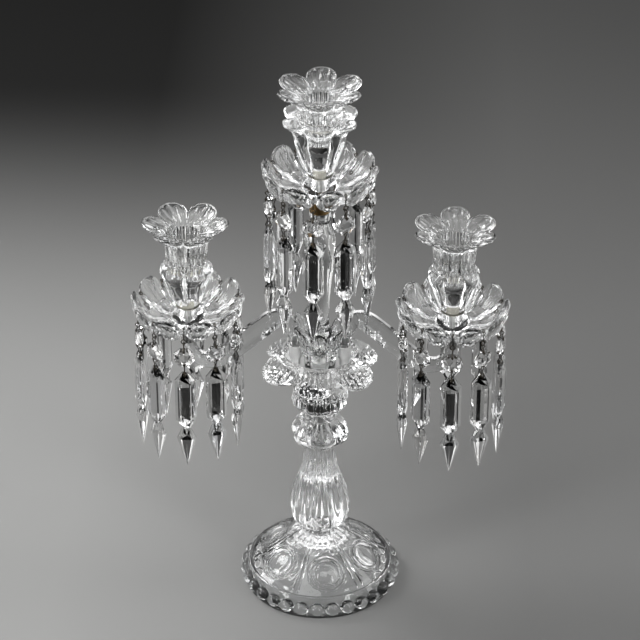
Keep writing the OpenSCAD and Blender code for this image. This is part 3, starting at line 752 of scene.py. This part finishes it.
for light_name, (light_x, light_z, hook_turn, cup_turn) in LIGHTS.items():
    cup_ring = PetalAngles(6, 56, cup_turn)
    middle = CUP_LEAVES if light_name == "top" else CUP_LOBES
    cup_rows = through(raised(CUP_FOOT + middle + CUP_COROLLA, 0), 7)
    cup_grid = petal_rings(cup_rows, cup_ring, 4)
    first = 7 * (len(CUP_FOOT) + len(middle))
    row = np.arange(len(cup_rows))[:, None]
    across = cup_ring.across[None, :]
    fan = hill(across, 0.1) + hill(np.abs(across) - 0.45, 0.1)
    petal_face = window(len(cup_rows), first + 68, first + 95, 5)
    petal_back = window(len(cup_rows), first + 20, first + 40, 6)
    drops = np.sqrt((across / 0.62) ** 2 + ((row - 40) / 22) ** 2)
    fan_ridges = 1.2 * petal_face * (fan - 0.5) * cup_ring.rise[None, :]
    back_rib = 0.7 * petal_back * (hill(across, 0.3) - 1) * cup_ring.rise[None, :]
    cup_grid = embossed(cup_grid, fan_ridges + back_rib - 0.8 * ridge(drops, 1.0))
    peg_well = petal_rings(straight(round_run([[PEG_BORE, PEG_WELL], [PEG_BORE, 0]]), 3), cup_ring)
    socket_rows = np.array([[12.2, z, 12.2, z, 0.9] for z in np.linspace(SOCKET_MOUTH, SOCKET_FLOOR, 9)])
    socket = petal_rings(socket_rows, cup_ring, 4)
    cup_points, cup_faces = skin([peg_well, cup_grid, socket])
    cup_place = np.array([light_x, 0, light_z + CUP_SEAT])
    cup = piece("cup_" + light_name + "_glass", cup_points + cup_place, cup_faces, moulded_crystal, "stand",
                node="cup_" + light_name)
    cup.data.materials.append(plaster_bed)
    underside = (light_z + CUP_SEAT + 0.05) * MM
    corners = np.array([v.co.z for v in cup.data.vertices])
    bedded = [int(all(corners[i] < underside for i in face.vertices)) for face in cup.data.polygons]
    cup.data.polygons.foreach_set("material_index", bedded)
    print("cup", light_name, "faces", len(cup.data.polygons), "bedded", sum(bedded))

# %% [markdown]
# ## Cut pendants
# A pendant is a ring, an octagon bead, a link and a long spear. The bead is cut as a stone cutter would do
# it: a block is sliced by one plane after another, so every facet is flat. The spear has a waist, so it is
# a stack of nine-sided sections instead. Its front is a flat table and its back a steep ridge, which sends
# the look back to the dark side of the room: that is why the tables of the front spears turn black.

# %% Bead and spear
BEAD_W = 18.0
BEAD_TABLE = 3.4
# Two rings of facets on each side: turn in degrees, lean in degrees, distance from the middle
BEAD_CUTS = ((0, 52, 6.15), (22.5, 67, 4.72))
RING_L = 8.8
LINK_L = 12.4
RING_LIFT = 1.05
BEAD_INSET = 2.6
SPEAR_INSET = 3.6
BEAD_MID = RING_LIFT - RING_L + BEAD_INSET - BEAD_W / 2
SPEAR_HOLE = BEAD_MID - BEAD_W / 2 + BEAD_INSET - LINK_L
SPEAR_TOP = SPEAR_HOLE + SPEAR_INSET


def cut_bead():
    stone = bmesh.new()
    bmesh.ops.create_cube(stone, size=2 * BEAD_W)
    planes = []
    for k in range(8):
        turn = math.radians(45 * k)
        planes.append(((math.cos(turn), 0, math.sin(turn)), BEAD_W / 2))
        for face in (-1, 1):
            for offset, lean, distance in BEAD_CUTS:
                swing = turn + math.radians(offset)
                flat = math.cos(math.radians(lean))
                rise = face * math.sin(math.radians(lean))
                planes.append(((math.cos(swing) * flat, rise, math.sin(swing) * flat), distance))
    planes += [((0, 1, 0), BEAD_TABLE), ((0, -1, 0), BEAD_TABLE)]
    for normal, distance in planes:
        geometry = stone.verts[:] + stone.edges[:] + stone.faces[:]
        point = [distance * v for v in normal]
        cut = bmesh.ops.bisect_plane(stone, geom=geometry, plane_co=point, plane_no=normal,
                                     clear_outer=True)
        rim = [e for e in cut["geom_cut"] if isinstance(e, bmesh.types.BMEdge)]
        if rim:
            bmesh.ops.edgeloop_fill(stone, edges=rim)
    bmesh.ops.recalc_face_normals(stone, faces=stone.faces[:])
    stone.verts.index_update()
    points = np.array([v.co for v in stone.verts]) + np.array([0, 0, BEAD_MID])
    faces = [[v.index for v in f.verts] for f in stone.faces]
    stone.free()
    return points, faces


# Each section of the spear: height, half width, half thickness, half table, half edge
SPEAR = [[0, 2.2, 1.5, 1.2, 0.5], [-5.5, 6.6, 2.2, 3.4, 0.7], [-8.5, 9, 3.0, 4.6, 0.8],
         [-14, 9.2, 4.5, 5.3, 0.8], [-51, 9.2, 4.5, 5.3, 0.8], [-59, 3.6, 2.8, 1.8, 0.7],
         [-70, 8.6, 4.6, 4.6, 0.8], [-99.8, 0.35, 0.3, 0.15, 0.1]]
RIDGE_SHARE = 1.16
SHOULDER_SHARE = 0.6


def cut_spear():
    rings = []
    for z, wide, thick, table, edge in SPEAR:
        shoulder = SHOULDER_SHARE * edge
        ring = [[wide, -edge], [wide, edge], [table, shoulder], [0, RIDGE_SHARE * thick],
                [-table, shoulder], [-wide, edge], [-wide, -edge], [-table, -thick], [table, -thick]]
        rings.append([[x, y, SPEAR_TOP + z] for x, y in ring])
    return skin([np.array(rings[::-1])])


bead_points, bead_faces = cut_bead()
spear_points, spear_faces = cut_spear()
glass_faces = bead_faces + [[i + len(bead_points) for i in f] for f in spear_faces]
print("bead facets", len(bead_faces), "spear facets", len(spear_faces))

# %% [markdown]
# ## Wire loops and pins
# The loops are bow-tie wires, wide at both ends and pinched in the middle. Short dark pins mark the holes
# that are drilled in the bead and the spear.

# %% Wires and pins
WIRE_R = 0.45


def tube_loop(path, radius, sides=8):
    ahead = np.roll(path, -1, axis=0) - np.roll(path, 1, axis=0)
    ahead /= np.linalg.norm(ahead, axis=1, keepdims=True)
    side = np.array([1.0, 0.0, 0.0])
    third = np.cross(ahead, side)
    rings = []
    for k in range(sides):
        turn = 2 * math.pi * k / sides
        rings.append(path + radius * (math.cos(turn) * side + math.sin(turn) * third))
    grid = np.stack(rings, axis=1)
    return skin([grid], loop=True)


def bow_tie(top, length):
    s = np.linspace(0, 2 * math.pi, 40, endpoint=False)
    z = top - length / 2 + length / 2 * np.cos(s)
    y = 2.7 * (0.3 * np.sin(s) + 1.9 * np.sin(s) * np.cos(s) ** 2)
    return tube_loop(np.stack([np.zeros_like(s), y, z], axis=1), WIRE_R)


def pin(z, half):
    profile = [[0.3, -half - 0.35], [0.85, -half - 0.25], [1.1, -half], [1.1, half], [0.85, half + 0.25],
               [0.3, half + 0.35]]
    turn = np.radians(np.arange(12) * 30)
    rings = [np.stack([r * np.cos(turn), np.full(12, y), z - r * np.sin(turn)], axis=1) for r, y in profile]
    return skin([np.array(rings)])


wire_parts = [bow_tie(RING_LIFT, RING_L), bow_tie(SPEAR_HOLE + LINK_L, LINK_L),
              pin(BEAD_MID + BEAD_W / 2 - BEAD_INSET, 2.5), pin(BEAD_MID - BEAD_W / 2 + BEAD_INSET, 2.5),
              pin(SPEAR_HOLE, 1.8)]
wire_points = np.vstack([p for p, f in wire_parts])
wire_faces = []
wire_start = 0
for part_points, part_faces in wire_parts:
    wire_faces += [[i + wire_start for i in f] for f in part_faces]
    wire_start += len(part_points)
print("wire faces", len(wire_faces))

# %% [markdown]
# ## Hanging the pendants
# All thirty pendants share one wire mesh. Each copy is turned to its valley in the pan and rides on its own
# swinging body. A spear hangs on a slack loop and seldom faces quite straight out, so most are turned a few
# degrees. Those on the outer sides stay square, to keep inside the box of the solids.

# %% Hang the pendants
HOOK_R = 45.6
PIVOT_Z = 6.5
SLACK_TURNS = [4, -7, 9, -3, 6, -8, 2, 7, -5, -9]
SIDEWAYS = (50, 130)
SQUARE_SHARE = 0.8
TURN_SHARE = 0.4
MOST_TURN = 16


def spear_turn(k, turn, light_x):
    """Degrees to turn one spear: none on the outer side, squared up on the inner, loose elsewhere."""
    facing = (math.degrees(turn) + 180) % 360 - 180
    if SIDEWAYS[0] < abs(facing) < SIDEWAYS[1]:
        faces_out = light_x * math.sin(turn) > 0
        return 0.0 if faces_out else SQUARE_SHARE * (math.copysign(90, facing) - facing)
    return SLACK_TURNS[k] - max(-MOST_TURN, min(MOST_TURN, TURN_SHARE * facing))


def turned(points, degrees):
    turn = math.radians(degrees)
    spin = np.array([[math.cos(turn), math.sin(turn), 0], [-math.sin(turn), math.cos(turn), 0], [0, 0, 1]])
    return points @ spin


def shared_mesh(name, points, faces, finish, smooth):
    mesh = bpy.data.meshes.new(name)
    mesh.from_pydata((points * MM).tolist(), [], faces)
    mesh.validate()
    mesh.polygons.foreach_set("use_smooth", [smooth] * len(mesh.polygons))
    if smooth:
        mesh.set_sharp_from_angle(angle=math.radians(40))
    mesh.materials.append(finish)
    return mesh


loops_mesh = shared_mesh("pendant_loops", wire_points, wire_faces, hook_wire, True)
for light_name, (light_x, light_z, hook_turn, cup_turn) in LIGHTS.items():
    for k in range(10):
        turn = math.radians(hook_turn + 36 * k)
        body = f"pendant_{light_name}_{k + 1}"
        spot_x = light_x + HOOK_R * math.sin(turn)
        spot_y = -HOOK_R * math.cos(turn)
        glass_points = np.vstack([bead_points, turned(spear_points, spear_turn(k, turn, light_x))])
        pendant_mesh = shared_mesh(f"{body}_cut", glass_points, glass_faces, cut_crystal, False)
        for kind, mesh, slot in (("crystal", pendant_mesh, "crystal"), ("loops", loops_mesh, "brass")):
            hung = bpy.data.objects.new(f"{body}_{kind}", mesh)
            hung.location = (spot_x * MM, spot_y * MM, (light_z + PIVOT_Z) * MM)
            hung.rotation_euler = (0, 0, turn)
            bpy.context.scene.collection.objects.link(hung)
            bpy.context.view_layer.update()
            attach(hung, body)
            if kind == "crystal":
                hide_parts(body)
print("pendants hung: 30")

# %% [markdown]
# ## Floor and light
# The setting is a grey studio floor that fades into a plain backdrop, so that clear glass stands out
# against it. Its colour holds a painted pool of light and painted shade: paler in front on the left, darker
# to the right and towards the back. What the glass itself sees is richer: white cards painted on the floor
# beside the object, a dark room in front of it with a painted dark band on the floor, and a bright ceiling.
# The cards and the soft boxes draw the bright edges, and the dark room leaves the black flashes that make
# crystal sparkle.

# %% Floor and backdrop
FLOOR_R = 7.0
FLOOR_SIDES = 96
PAINTED_CARD_WHITE = 0.85
# In metres from the centre: where the painted white cards, the painted dark band in front and the fade
# begin and end
PAINTED_CARD_EDGE = (0.52, 0.64)
PAINTED_BAND_EDGE = (-0.34, -0.2)
FADE_EDGE = (1.45, 2.4)
floor_mesh = bpy.data.meshes.new("floor")
ring_turns = np.linspace(0, 2 * math.pi, FLOOR_SIDES, endpoint=False)
floor_points = [[0.0, 0.0, 0.0]]
floor_points += [[FLOOR_R * math.cos(a), FLOOR_R * math.sin(a), 0.0] for a in ring_turns]
floor_faces = [[0, 1 + i, 1 + (i + 1) % FLOOR_SIDES] for i in range(FLOOR_SIDES)]
floor_mesh.from_pydata(floor_points, [], floor_faces)
floor = bpy.data.objects.new("floor", floor_mesh)
bpy.context.scene.collection.objects.link(floor)
floor_finish = Finish("studio_floor")
along = floor_finish.part(floor_finish.place(), "Y")
sideways = floor_finish.part(floor_finish.place(), "X")
# painted light and shade: the floor colour is a painted pool of light, paler in front on the left and
# darker to the right and towards the back
lit_side = floor_finish.ease(along, 0.26, 1.04, 0.345, 0.024)
dim_side = floor_finish.ease(along, 0.2, 1.35, 0.2, 0.125)
across_floor = floor_finish.node("ShaderNodeMapRange", {}, {
    "Value": sideways, "From Min": -0.25, "From Max": 0.2, "To Min": 0.0, "To Max": 1.0})
painted_falloff = lit_side + (dim_side - lit_side) * across_floor
off_side = floor_finish.node("ShaderNodeMath", {"operation": "ABSOLUTE"}, {0: sideways})
# painted reflections: for rays that come from the glass, the floor is painted white at the sides and dark
# in front, to draw bright edges and black flashes in the crystal
painted_card = floor_finish.ease(off_side, *PAINTED_CARD_EDGE, 0.0, 1.0)
in_glass = 1.0 - floor_finish.node("ShaderNodeLightPath", output="Is Camera Ray")
carded = painted_falloff + (PAINTED_CARD_WHITE - painted_falloff) * painted_card * in_glass
painted_dark_band = floor_finish.ease(along, *PAINTED_BAND_EDGE, 0.04, 1.0)
bounced = floor_finish.node("ShaderNodeLightPath", output="Glossy Depth")
mirrored_once = floor_finish.node("ShaderNodeMath", {"operation": "MINIMUM"}, {0: bounced, 1: 1.0})
level = carded * (1.0 - (1.0 - painted_dark_band) * in_glass * mirrored_once)
paper = floor_finish.node("ShaderNodeBsdfPrincipled", {}, {
    "Base Color": floor_finish.blend(level, (0.0, 0.0, 0.0, 1.0), (1.0, 1.0, 0.985, 1.0)),
    "Roughness": 0.6, "Specular IOR Level": 0.0})
reach = floor_finish.node("ShaderNodeVectorMath", {"operation": "LENGTH"}, {0: floor_finish.place()},
                          "Value")
fading = floor_finish.ease(reach, *FADE_EDGE, 0.0, 1.0)
clear = floor_finish.node("ShaderNodeBsdfTransparent")
swept = floor_finish.node("ShaderNodeMixShader", {}, {0: fading * (1.0 - in_glass), 1: paper, 2: clear})
floor_mesh.materials.append(floor_finish.surface(swept))
print("floor laid")

# %% Room and lamps
BACKDROP_GREY = (0.12, 0.12, 0.118, 1.0)
FILL_SHARE = 0.22
world = bpy.data.worlds.new("studio_room")
bpy.context.scene.world = world
room = Finish("room", world)
heading = room.node("ShaderNodeTexCoord", output="Generated")
upward = room.part(heading, "Z")
toward_side = room.part(heading, "X")
toward_back = room.part(heading, "Y")
side_share = room.node("ShaderNodeMath", {"operation": "ABSOLUTE"}, {0: toward_side})
front_share = room.node("ShaderNodeMath", {"operation": "MAXIMUM"}, {0: toward_back * -1.0, 1: 0.0})
back_share = room.node("ShaderNodeMath", {"operation": "MAXIMUM"}, {0: toward_back, 1: 0.0})
openness = upward + side_share * 0.75 - front_share * 0.3 - back_share * 0.2
room_shade = room.node("ShaderNodeValToRGB", {"stops": [
    (0.0, (0.06, 0.06, 0.06)), (0.2, (0.08, 0.08, 0.08)), (0.42, (0.95, 0.95, 0.95)),
    (0.5, (1.0, 1.0, 1.0))]}, {"Fac": openness})
seen = room.node("ShaderNodeBackground", {}, {"Color": room_shade, "Strength": 1.0})
fill = room.node("ShaderNodeBackground", {}, {"Color": room_shade, "Strength": FILL_SHARE})
straight_view = room.node("ShaderNodeLightPath", output="Is Camera Ray")
mirrored = room.node("ShaderNodeLightPath", output="Is Glossy Ray")
refracted = room.node("ShaderNodeLightPath", output="Is Transmission Ray")
scattered = room.node("ShaderNodeLightPath", output="Diffuse Depth")
sharp_view = (straight_view + mirrored + refracted) * (1.0 - scattered)
sky = room.node("ShaderNodeMixShader", {}, {0: sharp_view, 1: fill, 2: seen})
backdrop = room.node("ShaderNodeBackground", {}, {"Color": BACKDROP_GREY, "Strength": 1.0})
backed = room.node("ShaderNodeMixShader", {}, {0: straight_view, 1: sky, 2: backdrop})
room.node("ShaderNodeOutputWorld", {}, {"Surface": backed})


def soft_box(name, place, target, wide, high, watts):
    lamp = bpy.data.lights.new(name, "AREA")
    lamp.shape = "RECTANGLE"
    lamp.size = wide
    lamp.size_y = high
    lamp.energy = watts
    made = bpy.data.objects.new(name, lamp)
    made.location = place
    made.visible_camera = False
    aim = np.array(target) - np.array(place)
    flat = math.hypot(aim[0], aim[1])
    made.rotation_euler = (math.atan2(flat, -aim[2]), 0, math.atan2(aim[1], aim[0]) - math.pi / 2)
    bpy.context.scene.collection.objects.link(made)
    return made


soft_box("key_soft_box", (-1.25, 0.55, 1.45), (0, 0, 0.2), 0.9, 0.9, 22)
soft_box("right_soft_box", (1.5, 0.1, 0.9), (0, 0, 0.3), 0.6, 1.4, 8)
soft_box("front_soft_box", (-0.2, -0.9, 1.9), (0, 0, 0.3), 1.2, 0.5, 6)
soft_box("left_strip", (-1.1, -0.75, 0.75), (0, 0, 0.3), 0.22, 1.3, 9)
soft_box("right_strip", (1.0, -0.9, 0.8), (0, 0, 0.3), 0.2, 1.3, 6)
print("room and lamps set")
